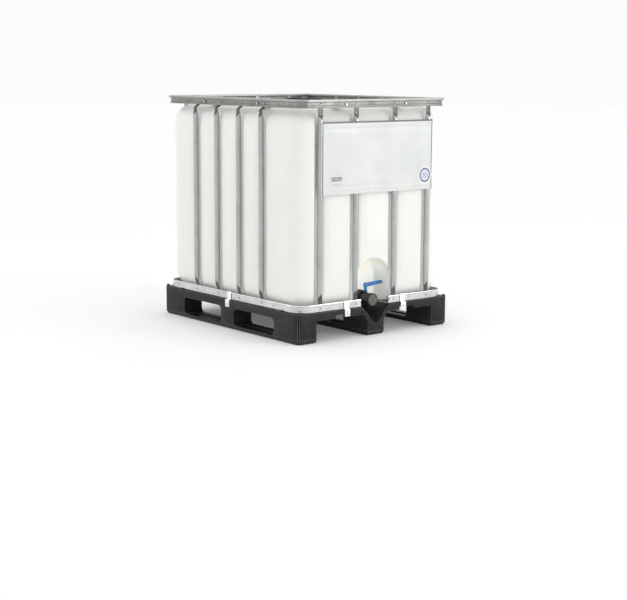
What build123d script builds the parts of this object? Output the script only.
from build123d import *

import os

os.makedirs("parts", exist_ok=True)

# Intermediate bulk container: a blow-moulded bottle in a cage of upright steel tubes,
# riveted to a pressed steel tray and a top frame, on a moulded plastic pallet.
# Millimetres, +Z up, origin on the floor under the middle, outlet valve towards -Y.

# ---- driving dimensions ------------------------------------------------------------------

PALLET_X = 1000.0            # footprint of the pallet
PALLET_Y = 1200.0
PALLET_TOP = 150.0           # height of the deck
OVERALL_TOP = 1186.0         # height of the stacking face of the top frame
SHEET = 2.0                  # gauge of the galvanised sheet

RUNNER_T = 22.0              # skids under the feet
DECK_DEPTH = 38.0            # deck, with its ribs
DECK_SKIN = 8.0
RIB = 9.0
CORNER_FOOT_X = 115.0        # footprint of the corner feet
CORNER_FOOT_Y = 197.0
MIDDLE_FOOT = 52.0           # half width of the middle feet
PALLET_CORNER_R = 30.0
WINDOW_R = 28.0              # corner radius of the long-side windows

TRAY_X = 485.0               # half sizes of the tray, outside the rim
TRAY_Y = 589.0
TRAY_CORNER_R = 80.0
TRAY_FLOOR = 1.5
RIM_H = 40.0                 # rim height above the deck
OUTLET_GAP = 92.0            # half width of the gap in the rim at the valve

FRAME_X = 482.0              # half sizes of the top frame, over its lip
FRAME_Y = 596.0
FRAME_H = 41.0
FRAME_LIP = 10.0             # how far the lip stands out from the web
FRAME_FLANGE = 34.0          # width of the stacking flange
FRAME_CORNER_R = 55.0

BAR_R = 13.5                 # upright tubes
BAR_WALL = 1.5
BAR_LINE_END = 582.0         # tube centres from the middle, front and rear walls
BAR_LINE_SIDE = 486.0        # tube centres from the middle, side walls
END_BARS = (-353.0, -127.0, 127.0, 353.0)
SIDE_BARS = (-280.0, -88.0, 104.0, 296.0)   # places along Y, a little towards the rear
TAB_T = 5.0                  # flattened ends of the tubes
TAB_W = 36.0
BAR_LOW_BEND = 234.0         # heights where the tube starts to flatten
BAR_HIGH_BEND = 1106.0

RIVET_R = 3.9
RIVET_HEAD_R = 6.5
RIVET_HEAD_H = 2.4

BRACE_CROSS_Y = 231.0        # flat braces over the bottle
BRACE_LONG_X = 195.0
BRACE_W = 40.0
BRACE_H = 8.0

PLATE_X0 = -346.0            # label plate, from the first tube to past the fourth
PLATE_X1 = 372.0
PLATE_Z0 = 724.0
PLATE_Z1 = 1079.0
PLATE_T = 1.0
PLATE_HEM = 24.0

BOTTLE_X = 480.0             # half sizes of the bottle
BOTTLE_Y = 580.0
BOTTLE_TOP = 1143.0
BOTTLE_CORNER_R = 112.0
BOTTLE_EDGE_R = 100.0
BOTTLE_WALL = 2.5
GROOVE_R = 29.0              # upright grooves that clear the tubes

NECK_R = 80.0                # filling neck
NECK_WALL = 6.0
NECK_TOP = 1170.0
LID_R = 92.0
LID_TOP = 1179.0
LID_SEAL_T = 3.0

VALVE_Z = 176.0              # axis of the outlet, along Y
VALVE_BORE_R = 23.0
RECESS_HALF = 114.0          # arched recess in the bottle round the outlet
RECESS_BACK = -452.0
RECESS_ARCH_Z = 296.0
STEM_Y = -516.0              # axis of the valve spindle
STEM_R = 5.0
CAP_FACE = -575.0
THREAD_R = 29.5              # outlet thread, over its crests
VALVE_END = -567.0

CLIP_W = 34.0
CLIP_T = 2.0
CLIP_FRONT_X = 187.0
CLIP_DROP = 36.0             # leg of the clip below the deck edge
CLIP_GAP = 1.8               # the clip stands off the rim by its hem
LEVER_TOP = 256.0
LEVER_REACH = 106.0
LEVER_DEPTH = 12.0
STAY_Y = -538.0              # clamp ring of the valve's stay
STAY_EYE_X = OUTLET_GAP + 6.5

# ---- helpers -----------------------------------------------------------------------------

ON_BASE = (Align.CENTER, Align.CENTER, Align.MIN)


def save(name, shape):
    """Write one node, as one solid or a group of separate solids."""
    shape.label = name
    export_step(shape, f"parts/{name}.step")


def span(x0, x1, y0, y1, z0, z1):
    """A box given by its limits."""
    middle = Pos((x0 + x1) / 2, (y0 + y1) / 2, (z0 + z1) / 2)
    return middle * Box(x1 - x0, y1 - y0, z1 - z0)


def rounded_block(half_x, half_y, radius, z0, z1):
    """An upright block with rounded vertical corners."""
    return extrude(Pos(0, 0, z0) * RectangleRounded(2 * half_x, 2 * half_y, radius), z1 - z0)


def ring_block(half_x, half_y, radius, depth, z0, z1):
    """A rounded rectangular ring, depth thick, whose outside has the given half sizes."""
    outer = rounded_block(half_x, half_y, radius, z0, z1)
    inner = rounded_block(half_x - depth, half_y - depth, radius - depth, z0 - 1, z1 + 1)
    return outer - inner


def rod_y(radius, y0, y1, x=0.0, z=VALVE_Z):
    """A round bar along Y between two stations."""
    return Pos(x, (y0 + y1) / 2, z) * Rot(90, 0, 0) * Cylinder(radius, y1 - y0)


def rod_z(radius, z0, z1, x=0.0, y=0.0):
    """A round bar along Z between two heights."""
    return Pos(x, y, (z0 + z1) / 2) * Cylinder(radius, z1 - z0)


def tube_y(outer_r, inner_r, y0, y1):
    """A sleeve along the outlet's axis."""
    return rod_y(outer_r, y0, y1) - rod_y(inner_r, y0 - 1, y1 + 1)


def tube_z(outer_r, inner_r, z0, z1, x=0.0, y=0.0):
    """A sleeve along a vertical axis."""
    return rod_z(outer_r, z0, z1, x, y) - rod_z(inner_r, z0 - 1, z1 + 1, x, y)


def group(solids):
    """Separate solids that share one node."""
    return Compound(children=list(solids))


# The four walls of the cage. Each is worked out as the front wall (outside towards -Y)
# and turned into place, so a wall is a name, a turn and the distances of its own parts.
WALLS = {
    "front": (0.0, BAR_LINE_END, END_BARS, TRAY_Y, FRAME_Y),
    "rear": (180.0, BAR_LINE_END, END_BARS, TRAY_Y, FRAME_Y),
    "left": (-90.0, BAR_LINE_SIDE, tuple(-y for y in SIDE_BARS), TRAY_X, FRAME_X),
    "right": (90.0, BAR_LINE_SIDE, SIDE_BARS, TRAY_X, FRAME_X),
}

RIM_TOP = PALLET_TOP + RIM_H
FRAME_BASE = OVERALL_TOP - FRAME_H
LOW_RIVET_Z = PALLET_TOP + 21.0
HIGH_RIVET_Z = OVERALL_TOP - 23.0
CLIP_SCREW_Z = PALLET_TOP - 24.0
BRACE_BOLT_Z = FRAME_BASE + 17.0
CROSS_TOP = FRAME_BASE + BRACE_H


def low_tab_line(tray_half):
    """Centre line of the flattened ends that stand inside the tray's rim."""
    return tray_half - SHEET - TAB_T / 2 - 0.2


def high_tab_line(frame_half):
    """Centre line of the flattened ends that stand inside the frame's web."""
    return frame_half - FRAME_LIP - SHEET - TAB_T / 2 - 0.2


def hole_y(y_half, x, z, radius=RIVET_R + 0.1, reach=14.0):
    """A drill along Y through the front wall at its own distance."""
    return rod_y(radius, -y_half - reach, -y_half + reach, x, z)


# ---- pallet ------------------------------------------------------------------------------

FORK_X0 = MIDDLE_FOOT
FORK_X1 = PALLET_X / 2 - CORNER_FOOT_X
WINDOW_Y0 = MIDDLE_FOOT + 3.0
WINDOW_Y1 = PALLET_Y / 2 - CORNER_FOOT_Y
FORK_TOP = PALLET_TOP - DECK_DEPTH
TROUGH_BACK = -440.0
TROUGH_WALL = 22.0
TROUGH_DEPTH = 90.0


def trough_prism(grow, y0, y1, top):
    """The V-shaped trough under the valve, its section grown outwards."""
    section = Polyline(
        (-92.0 - grow, top),
        (-60.0 - grow, PALLET_TOP - 30.0),
        (-14.0 - grow / 2, PALLET_TOP - TROUGH_DEPTH - grow),
        (14.0 + grow / 2, PALLET_TOP - TROUGH_DEPTH - grow),
        (60.0 + grow, PALLET_TOP - 30.0),
        (92.0 + grow, top),
        close=True,
    )
    face = make_face(Plane.XZ * section)
    return Pos(0, y1, 0) * extrude(face, y1 - y0)


def cells(low, high, count):
    """Equal rib-separated cells between two limits."""
    pitch = (high - low - RIB) / count
    return [(low + RIB + i * pitch, low + (i + 1) * pitch) for i in range(count)]


def deck_pockets():
    """Moulded pockets under the deck, clear of the feet."""
    columns = []
    for x0, x1 in ((-FORK_X1, -FORK_X0), (FORK_X0, FORK_X1)):
        columns += cells(x0 - RIB / 2, x1 + RIB / 2, 3)
    rows = cells(-PALLET_Y / 2, PALLET_Y / 2, 11)
    pockets = [(cx, cy) for cx in columns for cy in rows]
    foot_columns = [
        (-PALLET_X / 2 + RIB, -FORK_X1 - RIB / 2),
        (-FORK_X0 + RIB / 2, FORK_X0 - RIB / 2),
        (FORK_X1 + RIB / 2, PALLET_X / 2 - RIB),
    ]
    for y0, y1 in ((-WINDOW_Y1, -WINDOW_Y0), (WINDOW_Y0, WINDOW_Y1)):
        pockets += [(cx, cy) for cx in foot_columns for cy in cells(y0, y1, 3)]
    top = PALLET_TOP - DECK_SKIN
    keep_out = OUTLET_GAP + 3 * TROUGH_WALL / 2
    return [
        span(x0, x1, y0, y1, FORK_TOP - 1, top)
        for (x0, x1), (y0, y1) in pockets
        if not (y0 < TROUGH_BACK and min(abs(x0), abs(x1)) < keep_out)
    ]


def feet():
    """Limits of the nine feet, as (x0, x1, y0, y1)."""
    x_bands = (
        (-PALLET_X / 2, -FORK_X1),
        (-FORK_X0, FORK_X0),
        (FORK_X1, PALLET_X / 2),
    )
    y_bands = (
        (-PALLET_Y / 2, -WINDOW_Y1),
        (-WINDOW_Y0, WINDOW_Y0),
        (WINDOW_Y1, PALLET_Y / 2),
    )
    return [(*xs, *ys) for xs in x_bands for ys in y_bands]


def foot_hollows():
    """Two hollows up each foot, with a web between them for the skid's screws."""
    wall = 7.0
    hollows = []
    for x0, x1, y0, y1 in feet():
        if x0 == -FORK_X0 and y0 == -PALLET_Y / 2:
            continue
        middle = (y0 + y1) / 2
        for low, high in ((y0 + wall, middle - wall), (middle + wall, y1 - wall)):
            hollows.append(span(x0 + wall, x1 - wall, low, high, RUNNER_T - 1, PALLET_TOP - DECK_SKIN))
    return hollows


def screw_points():
    """Where the skid's screws go up into the feet."""
    return [((x0 + x1) / 2, (y0 + y1) / 2) for x0, x1, y0, y1 in feet()]


def clip_seat(wall_half, x, width):
    """The shallow seat in the pallet's front face for one clip."""
    half = width / 2 + 1
    low = PALLET_TOP - CLIP_DROP - 2
    return span(x - half, x + half, -wall_half - 1, -wall_half + CLIP_T + 0.4, low, PALLET_TOP + 1)


CLIPS = {
    "clip_front_left": (0.0, PALLET_Y / 2, TRAY_Y, -CLIP_FRONT_X, CLIP_W),
    "clip_front_right": (0.0, PALLET_Y / 2, TRAY_Y, CLIP_FRONT_X, CLIP_W),
    "clip_rear_left": (180.0, PALLET_Y / 2, TRAY_Y, CLIP_FRONT_X, CLIP_W),
    "clip_rear_right": (180.0, PALLET_Y / 2, TRAY_Y, -CLIP_FRONT_X, CLIP_W),
    "clip_side_left": (-90.0, PALLET_X / 2, TRAY_X, 0.0, CLIP_W),
    "clip_side_right": (90.0, PALLET_X / 2, TRAY_X, 0.0, CLIP_W),
}


def pallet():
    """Deck and nine feet in one moulding."""
    body = rounded_block(PALLET_X / 2, PALLET_Y / 2, PALLET_CORNER_R, RUNNER_T, PALLET_TOP)
    window_h = FORK_TOP - RUNNER_T + 2
    window = Rectangle(WINDOW_Y1 - WINDOW_Y0, window_h)
    window = fillet(window.vertices(), WINDOW_R)
    for side in (-1, 1):
        place = Plane.YZ * Pos(side * (WINDOW_Y0 + WINDOW_Y1) / 2, FORK_TOP - window_h / 2)
        body -= extrude(place * window, PALLET_X / 2 + 1, both=True)
        x0, x1 = sorted((side * FORK_X0, side * FORK_X1))
        body -= span(x0, x1, -PALLET_Y, PALLET_Y, 0, FORK_TOP)
    body -= deck_pockets()
    body -= foot_hollows()
    body += trough_prism(TROUGH_WALL, -PALLET_Y / 2, TROUGH_BACK + 8, PALLET_TOP)
    body -= trough_prism(0.0, -PALLET_Y, TROUGH_BACK, PALLET_TOP + 1)
    # the deck's front edge is thinner beside the trough
    for side in (-1, 1):
        x0, x1 = sorted((side * 160, side * 262))
        body -= span(x0, x1, -PALLET_Y / 2 - 1, -PALLET_Y / 2 + 60, FORK_TOP - 1, FORK_TOP + 16)
    # stops outside the tray: one at each corner and one at each end of the long sides
    for sx in (-1, 1):
        for sy in (-1, 1):
            body += rod_z(8, PALLET_TOP - 2, PALLET_TOP + 9, sx * 484, sy * 584)
            x0, x1 = sorted((sx * 488, sx * 497))
            body += span(x0, x1, sy * 440 - 14, sy * 440 + 14, PALLET_TOP - 2, PALLET_TOP + 5)
    for turn, wall_half, _, x, width in CLIPS.values():
        body -= Rot(0, 0, turn) * clip_seat(wall_half, x, width)
        body -= Rot(0, 0, turn) * clip_screw_hole(wall_half, x)
    for x, y in screw_points():
        body -= rod_z(2.6, RUNNER_T - 1, RUNNER_T + 21, x, y)
    return body


def runner(x0, x1):
    """A skid along Y under one row of feet, bevelled at its ends for pallet trucks."""
    body = span(x0, x1, -PALLET_Y / 2, PALLET_Y / 2, 0, RUNNER_T)
    body &= rounded_block(PALLET_X / 2, PALLET_Y / 2, PALLET_CORNER_R, 0, RUNNER_T)
    lower_ends = body.faces().sort_by(Axis.Z)[0].edges().filter_by(Axis.X)
    body = chamfer(lower_ends, 12)
    middle = (x0 + x1) / 2
    # lightening slots under the windows
    for side in (-1, 1):
        y0, y1 = sorted((side * (WINDOW_Y0 + 40), side * (WINDOW_Y1 - 40)))
        slot = SlotOverall(y1 - y0, 34, rotation=90)
        body -= extrude(Pos(middle, (y0 + y1) / 2, -1) * slot, RUNNER_T + 2)
    for x, y in screw_points():
        if x0 < x < x1:
            body -= rod_z(3.1, -1, RUNNER_T + 1, x, y)
            body -= Pos(x, y, 4) * Cone(7.4, 3.1, 4.2)
            body -= rod_z(7.4, -1, 2, x, y)
    return body


def runner_screw(x, y):
    """A countersunk screw, its head just inside the skid's underside."""
    head = Pos(x, y, 4) * Cone(7.2, 2.9, 4.0)
    shank = rod_z(3.0, 4, RUNNER_T - 0.5, x, y)
    tip = rod_z(2.5, RUNNER_T - 1, RUNNER_T + 20, x, y)
    return head + shank + tip


# ---- tray and its clips ------------------------------------------------------------------


def tray():
    """Pressed tray: a floor, an upstanding rim with a hem and a bead, open at the valve."""
    body = rounded_block(TRAY_X, TRAY_Y, TRAY_CORNER_R, PALLET_TOP, PALLET_TOP + TRAY_FLOOR)
    body += ring_block(TRAY_X, TRAY_Y, TRAY_CORNER_R, SHEET, PALLET_TOP, RIM_TOP)
    hem = 1.6
    for z0, z1 in ((RIM_TOP - 6, RIM_TOP), (PALLET_TOP + 5, PALLET_TOP + 10)):
        body += ring_block(TRAY_X + hem, TRAY_Y + hem, TRAY_CORNER_R + hem, hem + 0.5, z0, z1)
    body -= span(-OUTLET_GAP, OUTLET_GAP, -TRAY_Y - 5, TROUGH_BACK - 6, PALLET_TOP - 1, RIM_TOP + 1)
    for turn, _, bars, tray_half, _ in WALLS.values():
        for x in bars:
            body -= Rot(0, 0, turn) * hole_y(tray_half, x, LOW_RIVET_Z, reach=5)
    body -= hole_y(TRAY_Y, STAY_EYE_X, LOW_RIVET_Z, reach=5)
    return body


def clip_screw_hole(wall_half, x):
    """Pilot hole for the clip's screw, in the edge of the deck."""
    return rod_y(2.1, -wall_half - 1, -wall_half + 16, x, CLIP_SCREW_Z)


def clip(wall_half, tray_half, x, width):
    """A strap that hooks over the rim, crosses the deck edge and turns down its face."""
    rim_out = tray_half + CLIP_GAP
    x0 = x - width / 2
    x1 = x + width / 2
    upright = span(x0, x1, -rim_out - CLIP_T, -rim_out, PALLET_TOP, RIM_TOP + CLIP_T)
    hook = span(x0, x1, -rim_out - CLIP_T, -tray_half + SHEET + 2.2, RIM_TOP, RIM_TOP + CLIP_T)
    lip = span(x0, x1, -tray_half + SHEET + 0.2, -tray_half + SHEET + 2.2, RIM_TOP - 9, RIM_TOP + 1)
    foot = span(x0, x1, -wall_half, -rim_out, PALLET_TOP, PALLET_TOP + CLIP_T)
    leg = span(x0, x1, -wall_half, -wall_half + CLIP_T, PALLET_TOP - CLIP_DROP, PALLET_TOP + 1)
    body = upright + hook + lip + foot + leg
    body -= rod_y(4.7, -wall_half - 1, -wall_half + 1.4, x, CLIP_SCREW_Z)
    return body - rod_y(2.6, -wall_half, -wall_half + 4, x, CLIP_SCREW_Z)


def clip_screw(wall_half, x):
    """Screw through the clip's leg into the edge of the deck, its head flush."""
    head = rod_y(4.6, -wall_half, -wall_half + 1.4, x, CLIP_SCREW_Z)
    return head + rod_y(2.0, -wall_half + 1, -wall_half + 14, x, CLIP_SCREW_Z)


# ---- cage --------------------------------------------------------------------------------


def bar(line, low_line, high_line):
    """One upright tube of the front wall, flattened and set inwards at both ends."""
    low_end = PALLET_TOP + TRAY_FLOOR + 2.5
    low_flat = RIM_TOP + 5
    high_flat = FRAME_BASE - 4
    high_end = OVERALL_TOP - 6

    def squashed(z, offset):
        return Pos(0, -offset, z) * Ellipse(TAB_W / 2, TAB_T / 2)

    def round_section(z):
        return Pos(0, -line, z) * Circle(BAR_R)

    body = rod_z(BAR_R, BAR_LOW_BEND, BAR_HIGH_BEND, 0, -line)
    body -= rod_z(BAR_R - BAR_WALL, BAR_LOW_BEND, BAR_HIGH_BEND, 0, -line)
    body += loft([squashed(low_flat, low_line), round_section(BAR_LOW_BEND)])
    body += loft([round_section(BAR_HIGH_BEND), squashed(high_flat, high_line)])
    body += extrude(squashed(low_end, low_line), low_flat - low_end)
    body += extrude(squashed(high_flat, high_line), high_end - high_flat)
    body -= hole_y(low_line, 0, LOW_RIVET_Z, reach=8)
    body -= hole_y(high_line, 0, HIGH_RIVET_Z, reach=8)
    return body


def rivet(x, z, outer_face, grip):
    """A rivet through the front wall: domed head outside, set tail inside."""
    dome = Cone(RIVET_HEAD_R, RIVET_HEAD_R * 0.55, RIVET_HEAD_H, align=ON_BASE)
    head = Pos(x, -outer_face, z) * Rot(90, 0, 0) * dome
    shank = rod_y(RIVET_R, -outer_face - 0.5, -outer_face + grip + 0.5, x, z)
    tail = rod_y(RIVET_HEAD_R * 0.85, -outer_face + grip, -outer_face + grip + 1.8, x, z)
    return head + shank + tail


def top_frame():
    """Rolled profile: stacking flange, web with a rib, and an outer lip."""
    web_x = FRAME_X - FRAME_LIP
    web_y = FRAME_Y - FRAME_LIP
    web_r = FRAME_CORNER_R - FRAME_LIP
    body = ring_block(web_x, web_y, web_r, SHEET, FRAME_BASE, OVERALL_TOP)
    body += ring_block(FRAME_X, FRAME_Y, FRAME_CORNER_R, FRAME_LIP + 1, OVERALL_TOP - SHEET, OVERALL_TOP)
    body += ring_block(FRAME_X, FRAME_Y, FRAME_CORNER_R, 1.6, OVERALL_TOP - 9, OVERALL_TOP)
    body += ring_block(web_x - 1, web_y - 1, web_r - 1, FRAME_FLANGE, OVERALL_TOP - SHEET, OVERALL_TOP)
    inner = FRAME_FLANGE - SHEET
    body += ring_block(web_x - inner, web_y - inner, 15, SHEET, OVERALL_TOP - 9, OVERALL_TOP)
    hem = 3.0
    body += ring_block(web_x + hem, web_y + hem, web_r + hem, hem + 0.5, FRAME_BASE, FRAME_BASE + 5)
    for turn, _, bars, _, frame_half in WALLS.values():
        for x in bars:
            body -= Rot(0, 0, turn) * hole_y(frame_half - FRAME_LIP, x, HIGH_RIVET_Z, reach=6)
    for turn, half, x in brace_ends():
        body -= Rot(0, 0, turn) * hole_y(half - FRAME_LIP, x, BRACE_BOLT_Z, 3.2, reach=6)
    return body


def brace_ends():
    """Where the braces meet the frame, as (turn, half size, place along the front wall)."""
    ends = []
    for side in (-1, 1):
        ends += [(0.0, FRAME_Y, side * BRACE_LONG_X), (180.0, FRAME_Y, side * BRACE_LONG_X)]
        ends += [(-90.0, FRAME_X, side * BRACE_CROSS_Y), (90.0, FRAME_X, side * BRACE_CROSS_Y)]
    return ends


def brace_cross(y):
    """A channel across the bottle, open downwards, with upturned ends on the web."""
    reach = FRAME_X - FRAME_LIP - SHEET - 0.2
    half = BRACE_W / 2
    body = span(-reach, reach, y - half, y + half, CROSS_TOP - SHEET, CROSS_TOP)
    for side in (-1, 1):
        edge = y + side * half
        y0, y1 = sorted((edge, edge - side * SHEET))
        body += span(-reach + 8, reach - 8, y0, y1, CROSS_TOP - BRACE_H, CROSS_TOP)
        x0, x1 = sorted((side * reach, side * (reach - SHEET)))
        body += span(x0, x1, y - half, y + half, CROSS_TOP - SHEET, BRACE_BOLT_Z + 11)
        body -= Pos(side * reach, y, BRACE_BOLT_Z) * Rot(0, 90, 0) * Cylinder(3.2, 12)
        body -= rod_z(3.1, CROSS_TOP - 6, CROSS_TOP + 4, side * BRACE_LONG_X, y)
    return body


def brace_long(x):
    """A strip along the bottle with a raised bead, over the two cross channels."""
    reach = FRAME_Y - FRAME_LIP - SHEET - 0.2
    half = BRACE_W / 2
    body = span(x - half, x + half, -reach, reach, CROSS_TOP, CROSS_TOP + SHEET)
    bead_end = BRACE_CROSS_Y - 30
    body += span(x - 8, x + 8, -bead_end, bead_end, CROSS_TOP, CROSS_TOP + 5)
    for side in (-1, 1):
        y0, y1 = sorted((side * reach, side * (reach - SHEET)))
        body += span(x - half, x + half, y0, y1, CROSS_TOP, BRACE_BOLT_Z + 11)
        body -= Pos(x, side * reach, BRACE_BOLT_Z) * Rot(90, 0, 0) * Cylinder(3.2, 12)
        body -= rod_z(3.1, CROSS_TOP - 3, CROSS_TOP + 6, x, side * BRACE_CROSS_Y)
    return body


def brace_bolt(x, half):
    """A hexagon bolt through the front web and a brace's end, with its nut inside."""
    face = half - FRAME_LIP
    grip = 2 * SHEET + 0.2
    hexagon = RegularPolygon(6.4, 6)
    head = Pos(x, -face, BRACE_BOLT_Z) * Rot(90, 0, 0) * extrude(hexagon, 4.2)
    nut = Pos(x, -face + grip, BRACE_BOLT_Z) * Rot(-90, 0, 0) * extrude(hexagon, 5)
    return head + nut + rod_y(3.0, -face - 1, -face + grip + 7, x, BRACE_BOLT_Z)


def crossing_rivet(x, y):
    """A rivet where a long strip crosses a channel."""
    body = rod_z(3.0, CROSS_TOP - SHEET - 1, CROSS_TOP + SHEET + 1, x, y)
    body += rod_z(6.0, CROSS_TOP + SHEET, CROSS_TOP + SHEET + 2, x, y)
    return body + rod_z(5.0, CROSS_TOP - SHEET - 1.8, CROSS_TOP - SHEET, x, y)


# ---- label plate -------------------------------------------------------------------------

PLATE_BACK = BAR_LINE_END + BAR_R
PLATE_RIVET_BARS = END_BARS[1:]


def label_plate():
    """Sheet plate on the front tubes, doubled by hems along its top and bottom."""
    face = PLATE_BACK + PLATE_T
    body = span(PLATE_X0, PLATE_X1, -face, -PLATE_BACK, PLATE_Z0, PLATE_Z1)
    for z0, z1 in ((PLATE_Z0, PLATE_Z0 + PLATE_HEM), (PLATE_Z1 - PLATE_HEM, PLATE_Z1)):
        body += span(PLATE_X0, PLATE_X1, -face - PLATE_T, -face + 0.2, z0, z1)
    # the right edge is turned back round the fourth tube
    body += span(PLATE_X1 - PLATE_T, PLATE_X1, -face, -PLATE_BACK + 16, PLATE_Z0 + 4, PLATE_Z1 - 4)
    for x in PLATE_RIVET_BARS:
        for z in plate_rivet_heights():
            body -= rod_y(2.1, -face - 3, -PLATE_BACK + 1, x, z)
    return body


def plate_rivet_heights():
    """Rivets sit in the middle of each hem."""
    return (PLATE_Z0 + PLATE_HEM / 2, PLATE_Z1 - PLATE_HEM / 2)


def plate_rivet_holes(x):
    """Holes in a front tube for the plate's rivets."""
    return [rod_y(2.1, -PLATE_BACK - 1, -PLATE_BACK + 5, x, z) for z in plate_rivet_heights()]


def plate_rivet(x, z):
    """A small blind rivet whose tail spreads inside the tube."""
    outer = PLATE_BACK + 2 * PLATE_T
    head = rod_y(4.5, -outer - 1.2, -outer, x, z)
    shank = rod_y(2.0, -outer - 0.5, -PLATE_BACK + BAR_WALL + 1, x, z)
    tail = rod_y(3.2, -PLATE_BACK + BAR_WALL + 0.8, -PLATE_BACK + BAR_WALL + 3, x, z)
    return head + shank + tail


# ---- bottle ------------------------------------------------------------------------------

BOTTLE_BASE = PALLET_TOP + TRAY_FLOOR + 0.2
NECK_HUB_R = 118.0
OUTLET_NECK_R = 31.0
OUTLET_NECK_END = -488.0


def bottle_form(inset):
    """The blow-moulded form, every face set in by the same amount."""
    low = BOTTLE_BASE + inset
    high = BOTTLE_TOP - inset
    form = rounded_block(BOTTLE_X - inset, BOTTLE_Y - inset, BOTTLE_CORNER_R - inset, low, high)
    ends = form.faces().sort_by(Axis.Z)
    form = fillet(ends[0].edges() + ends[-1].edges(), BOTTLE_EDGE_R - inset)
    for turn, line, bars, _, _ in WALLS.values():
        for x in bars:
            form -= Rot(0, 0, turn) * rod_z(GROOVE_R + inset, 0, OVERALL_TOP, x, -line)
    half = RECESS_HALF + inset
    back = RECESS_BACK + inset
    form -= span(-half, half, -PALLET_Y / 2 - 10, back, 0, RECESS_ARCH_Z)
    form -= rod_y(half, -PALLET_Y / 2 - 10, back, 0, RECESS_ARCH_Z)
    return form


def bottle():
    """Hollow bottle with a threaded filling neck on top and an outlet neck in its recess."""
    body = bottle_form(0.0)
    body += rod_z(NECK_HUB_R, BOTTLE_TOP - 5, BOTTLE_TOP + 4)
    body -= bottle_form(BOTTLE_WALL)
    body += rod_z(NECK_R, BOTTLE_TOP - BOTTLE_WALL, NECK_TOP)
    body -= rod_z(NECK_R - NECK_WALL, BOTTLE_TOP - 10, NECK_TOP + 1)
    body += rod_y(OUTLET_NECK_R, OUTLET_NECK_END, RECESS_BACK + BOTTLE_WALL)
    body -= rod_y(VALVE_BORE_R, OUTLET_NECK_END - 1, RECESS_BACK + BOTTLE_WALL + 1)
    return body


def lid():
    """Screw lid with a grip-ribbed skirt and a sunk top with cross grips."""
    skirt_low = NECK_TOP - 21
    body = tube_z(LID_R - 3, NECK_R + 0.4, skirt_low, LID_TOP)
    body += rod_z(LID_R - 3, NECK_TOP + LID_SEAL_T, LID_TOP)
    ribs = 40
    for i in range(ribs):
        angle = i * 360 / ribs
        rib = Pos(LID_R - 3.5, 0, (skirt_low + LID_TOP) / 2) * Box(7, 5, LID_TOP - skirt_low - 3)
        body += Rot(0, 0, angle) * rib
    sunk = tube_z(LID_R - 14, 18, LID_TOP - 3, LID_TOP + 1)
    for angle in (45, 135):
        sunk -= Rot(0, 0, angle) * Box(2 * LID_R, 12, 4 * OVERALL_TOP)
    return body - sunk


# ---- outlet valve ------------------------------------------------------------------------

FLANGE_FACE = OUTLET_NECK_END - 2.5
FLANGE_T = 4.5
BARREL_R = 27.0
SEAT_R = 25.0
SEAT_HALF = 8.0
TOWER_TOP = 212.0


def outlet_nut():
    """Union nut that pulls the valve's flange against the bottle's outlet neck."""
    outer_r = 40.0
    back = RECESS_BACK - 4
    lip = FLANGE_FACE - FLANGE_T
    body = tube_y(outer_r - 2.5, OUTLET_NECK_R + 0.3, lip - 0.3, back)
    body += tube_y(outer_r - 2.5, BARREL_R + 0.5, lip - 4.3, lip - 0.3)
    ribs = 24
    for i in range(ribs):
        rib = Pos(outer_r - 3.5, (lip - 4.3 + back) / 2, 0) * Box(7, back - lip + 0.3, 4.5)
        body += Pos(0, 0, VALVE_Z) * Rot(0, i * 360 / ribs, 0) * rib
    return body


def valve_body():
    """Butterfly valve body: flange, barrel, spindle tower and threaded outlet."""
    body = rod_y(OUTLET_NECK_R, FLANGE_FACE - FLANGE_T, FLANGE_FACE)
    body += rod_y(BARREL_R, VALVE_END, FLANGE_FACE)
    body += rod_y(THREAD_R, VALVE_END, VALVE_END + 18)
    body += rod_z(11.0, VALVE_Z, TOWER_TOP, 0, STEM_Y)
    body += rod_z(9.0, VALVE_Z - BARREL_R - 3.5, VALVE_Z, 0, STEM_Y)
    body -= rod_y(VALVE_BORE_R, VALVE_END - 1, FLANGE_FACE + 1)
    body -= rod_y(SEAT_R, STEM_Y - SEAT_HALF, STEM_Y + SEAT_HALF)
    body -= rod_z(STEM_R + 0.05, VALVE_Z - BARREL_R, TOWER_TOP + 1, 0, STEM_Y)
    for z in o_ring_heights():
        body -= tube_z(STEM_R + 2.0, STEM_R, z - 1.2, z + 1.2, 0, STEM_Y)
    return body


def o_ring_heights():
    """Two ring grooves in the tower."""
    return (TOWER_TOP - 6.6, TOWER_TOP - 2.6)


def seat_ring():
    """Elastomer liner that the disc closes against, pierced for the spindle."""
    body = tube_y(SEAT_R, VALVE_BORE_R - 0.1, STEM_Y - SEAT_HALF, STEM_Y + SEAT_HALF)
    return body - rod_z(STEM_R + 0.6, VALVE_Z - 40, VALVE_Z + 40, 0, STEM_Y)


def o_ring(z):
    """One ring round the spindle."""
    return Pos(0, STEM_Y, z) * Torus(STEM_R + 1.0, 0.9)


def valve_disc():
    """Butterfly disc with a thick hub along the spindle."""
    radius = VALVE_BORE_R - 0.5
    plate = rod_y(radius, STEM_Y - 2.5, STEM_Y + 2.5)
    hub = rod_z(STEM_R + 3, VALVE_Z - radius + 2, VALVE_Z + radius - 2, 0, STEM_Y)
    return plate + hub - rod_z(STEM_R, VALVE_Z - 40, VALVE_Z + 40, 0, STEM_Y)


def valve_stem():
    """Spindle from the lower bearing through the disc to the lever."""
    body = rod_z(STEM_R, VALVE_Z - BARREL_R + 0.5, TOWER_TOP + 0.5, 0, STEM_Y)
    return body + rod_z(STEM_R - 1, TOWER_TOP, LEVER_TOP - 8, 0, STEM_Y)


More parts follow.
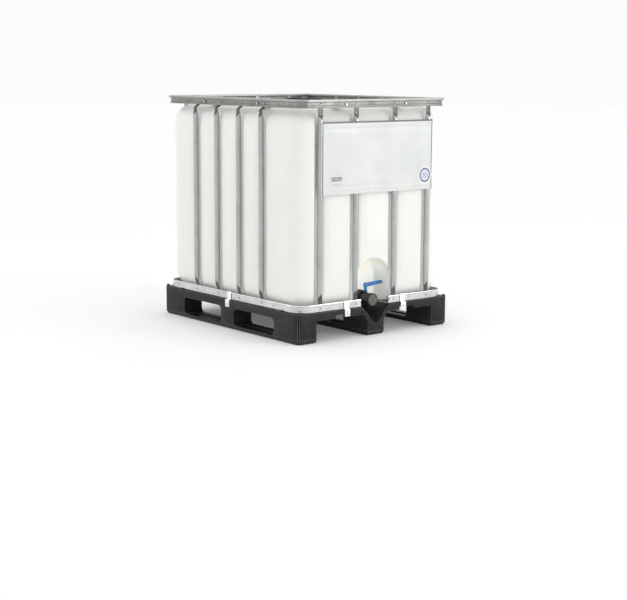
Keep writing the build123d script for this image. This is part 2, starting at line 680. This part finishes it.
def valve_handle():
    """Lever: an upright hub on the spindle and a long arm that rises towards its tip."""
    hub = rod_z(8.5, TOWER_TOP + 0.5, LEVER_TOP, 0, STEM_Y)
    side_view = Polyline(
        (-10.0, LEVER_TOP - 20),
        (-10.0, LEVER_TOP + 0.0),
        (LEVER_REACH, LEVER_TOP + 6),
        (LEVER_REACH, LEVER_TOP - 9),
        (14.0, LEVER_TOP - 20),
        close=True,
    )
    blade = make_face(Plane.XZ * side_view)
    arm = Pos(0, STEM_Y, 0) * extrude(blade, LEVER_DEPTH / 2, both=True)
    arm = fillet(arm.edges().filter_by(Axis.Y), 3.0)
    pocket = Polyline(
        (20.0, LEVER_TOP - 13),
        (20.0, LEVER_TOP - 4),
        (LEVER_REACH - 8, LEVER_TOP + 1),
        (LEVER_REACH - 8, LEVER_TOP - 5),
        close=True,
    )
    hollow = extrude(make_face(Plane.XZ * pocket), 3)
    body = hub + arm
    body -= Pos(0, STEM_Y + LEVER_DEPTH / 2 + 0.5, 0) * hollow
    body -= Pos(0, STEM_Y - LEVER_DEPTH / 2 + 2.5, 0) * hollow
    body -= rod_z(STEM_R - 1, 0, LEVER_TOP - 8, 0, STEM_Y)
    return body - rod_z(2.0, 0, LEVER_TOP + 9, 0, STEM_Y)


def handle_screw():
    """Pan-head screw that holds the lever on the spindle."""
    head = rod_z(4.5, LEVER_TOP + 0.8, LEVER_TOP + 3.6, 0, STEM_Y)
    head = fillet(head.faces().sort_by(Axis.Z)[-1].edges(), 1.2)
    shank = rod_z(1.9, LEVER_TOP - 8, LEVER_TOP + 1, 0, STEM_Y)
    return head + shank


def outlet_cap():
    """Screw cap on the outlet thread, with grip ribs round its skirt."""
    skirt_end = VALVE_END + 17.0
    body = rod_y(32.0, CAP_FACE + 1, skirt_end)
    body -= rod_y(THREAD_R + 0.4, VALVE_END - 2.5, skirt_end + 1)
    ribs = 30
    for i in range(ribs):
        rib = Pos(32.0, (CAP_FACE + 3 + skirt_end) / 2, 0) * Box(2.4, skirt_end - CAP_FACE - 5, 3)
        body += Pos(0, 0, VALVE_Z) * Rot(0, i * 360 / ribs, 0) * rib
    return body - rod_y(27.0, CAP_FACE - 1, CAP_FACE + 2.5)


def cap_cover_disc():
    """Tamper-evident disc pressed into the cap's face, with radial ribs."""
    body = rod_y(27.0, CAP_FACE + 0.5, CAP_FACE + 2.5)
    ribs = 12
    for i in range(ribs):
        rib = Pos(15.5, CAP_FACE + 0.5, 0) * Box(19, 1.0, 2.2)
        body += Pos(0, 0, VALVE_Z) * Rot(0, i * 360 / ribs, 0) * rib
    return body + rod_y(5.5, CAP_FACE, CAP_FACE + 1)


def valve_stay():
    """Clamp ring on the valve's barrel with a rod to the end of the tray's rim."""
    ring = tube_y(BARREL_R + 2.4, BARREL_R + 0.05, STAY_Y - 4, STAY_Y + 4)
    eye_back = -TRAY_Y + SHEET
    eye = span(OUTLET_GAP - 2, STAY_EYE_X + 8.5, eye_back + 0.1, eye_back + 2.6, PALLET_TOP + 4, RIM_TOP)
    start = Vector(BARREL_R + 1.4, STAY_Y, VALVE_Z - 6)
    end = Vector(OUTLET_GAP + 2, eye_back + 3.4, PALLET_TOP + 9)
    run = end - start
    rod = Plane(origin=start, z_dir=run) * Cylinder(2.8, run.length, align=ON_BASE)
    rod -= rod_y(BARREL_R + 0.05, STAY_Y - 20, STAY_Y + 20)
    body = ring + eye + rod
    return body - hole_y(TRAY_Y, STAY_EYE_X, LOW_RIVET_Z, reach=6)


# ---- write every node --------------------------------------------------------------------


def on_wall(turn, shape):
    """Turn a piece of the front wall onto another wall."""
    return Rot(0, 0, turn) * shape


def write_pallet():
    save("pallet", pallet())
    edge = PALLET_X / 2
    save("pallet_runner_left", runner(-edge, -FORK_X1))
    save("pallet_runner_centre", runner(-MIDDLE_FOOT, MIDDLE_FOOT))
    save("pallet_runner_right", runner(FORK_X1, edge))
    save("runner_screws", group(runner_screw(x, y) for x, y in screw_points()))


def write_tray():
    save("base_tray", tray())
    screws = []
    for name, (turn, wall_half, tray_half, x, width) in CLIPS.items():
        save(name, on_wall(turn, clip(wall_half, tray_half, x, width)))
        screws.append(on_wall(turn, clip_screw(wall_half, x)))
    save("clip_screws", group(screws))


def write_cage():
    low_rivets = []
    high_rivets = []
    for name, (turn, line, bars, tray_half, frame_half) in WALLS.items():
        low_line = low_tab_line(tray_half)
        high_line = high_tab_line(frame_half)
        upright = bar(line, low_line, high_line)
        web = frame_half - FRAME_LIP
        for number, x in enumerate(bars, start=1):
            piece = Pos(x, 0, 0) * upright
            if name == "front" and x in PLATE_RIVET_BARS:
                piece -= plate_rivet_holes(x)
            save(f"bar_{name}_{number}", on_wall(turn, piece))
            low_rivets.append(on_wall(turn, rivet(x, LOW_RIVET_Z, tray_half, SHEET + TAB_T + 0.2)))
            high_rivets.append(on_wall(turn, rivet(x, HIGH_RIVET_Z, web, SHEET + TAB_T + 0.2)))
    save("bar_rivets_low", group(low_rivets))
    save("bar_rivets_high", group(high_rivets))
    save("top_frame", top_frame())
    save("brace_cross_front", brace_cross(-BRACE_CROSS_Y))
    save("brace_cross_rear", brace_cross(BRACE_CROSS_Y))
    save("brace_long_left", brace_long(-BRACE_LONG_X))
    save("brace_long_right", brace_long(BRACE_LONG_X))
    bolts = [on_wall(turn, brace_bolt(x, half)) for turn, half, x in brace_ends()]
    for sx in (-1, 1):
        for sy in (-1, 1):
            bolts.append(crossing_rivet(sx * BRACE_LONG_X, sy * BRACE_CROSS_Y))
    save("brace_fasteners", group(bolts))


def write_plate():
    save("label_plate", label_plate())
    places = [(x, z) for x in PLATE_RIVET_BARS for z in plate_rivet_heights()]
    save("plate_rivets", group(plate_rivet(x, z) for x, z in places))
    face = PLATE_BACK + PLATE_T
    save("round_sticker", rod_y(44.0, -face - 0.3, -face, 323.0, 796.0))
    save("data_sticker", span(-300.0, -224.0, -face - 0.3, -face, 770.0, 814.0))


def write_bottle():
    save("bottle", bottle())
    save("lid", lid())
    save("lid_seal", tube_z(NECK_R, NECK_R - NECK_WALL, NECK_TOP, NECK_TOP + LID_SEAL_T))


def write_valve():
    save("outlet_gasket", tube_y(OUTLET_NECK_R - 0.5, VALVE_BORE_R, FLANGE_FACE, OUTLET_NECK_END))
    save("outlet_nut", outlet_nut())
    save("valve_body", valve_body())
    save("seat_ring", seat_ring())
    save("stem_o_rings", group(o_ring(z) for z in o_ring_heights()))
    save("valve_disc", valve_disc())
    save("valve_stem", valve_stem())
    save("valve_handle", valve_handle())
    save("handle_screw", handle_screw())
    save("outlet_cap", outlet_cap())
    save("cap_seal", tube_y(THREAD_R - 0.5, VALVE_BORE_R, VALVE_END - 2.5, VALVE_END))
    save("cap_cover_disc", cap_cover_disc())
    save("valve_stay", valve_stay())
    save("stay_rivet", rivet(STAY_EYE_X, LOW_RIVET_Z, TRAY_Y, SHEET + 2.6))


write_pallet()
write_tray()
write_cage()
write_plate()
write_bottle()
write_valve()
